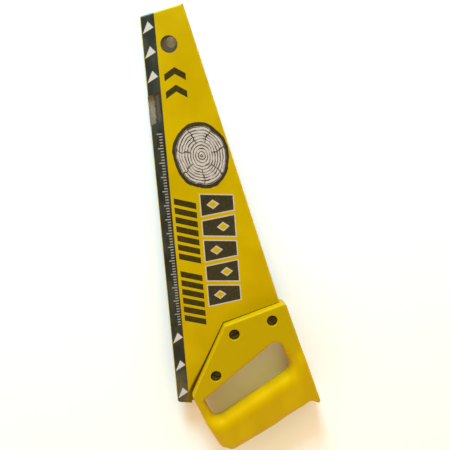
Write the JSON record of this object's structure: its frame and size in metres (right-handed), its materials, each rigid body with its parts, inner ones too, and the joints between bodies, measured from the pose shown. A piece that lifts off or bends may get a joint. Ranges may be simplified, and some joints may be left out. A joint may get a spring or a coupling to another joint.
{
  "type": "hand saw",
  "caption": "Toolbox hand saw with a tapered toothed steel blade, a moulded closed handle fixed by screws and sleeve nuts, and a folded card sleeve that slides off over the toe.",
  "frame": {"origin": "centre of the hang hole in the blade, halfway through the blade's thickness", "axes": "+X along the row of teeth from the toe to the handle, +Y from the teeth to the back edge, +Z out of the sleeve's printed face"},
  "size_m": [0.4227, 0.1404, 0.0248],
  "materials": {
    "blade_steel": "ground spring steel with blue-black hardened teeth",
    "handle_plastic": "yellow moulded plastic, satin",
    "fastener_black": "blackened steel, oiled",
    "sleeve_card": "printed gloss-coated card, yellow with a black band, unprinted inside"
  },
  "bodies": {
    "saw": {"blade": "blade_steel", "handle": "handle_plastic", "back_screw": "fastener_black", "middle_screw": "fastener_black", "heel_screw": "fastener_black", "back_nut": "fastener_black", "middle_nut": "fastener_black", "heel_nut": "fastener_black"},
    "sleeve": {"card_sleeve": "sleeve_card"}
  },
  "joints": [
    {"name": "sleeve_slide", "type": "slide", "parent": "saw", "child": "sleeve", "axis": [-1, 0, 0], "range_m": [0, 0.38]}
  ]
}
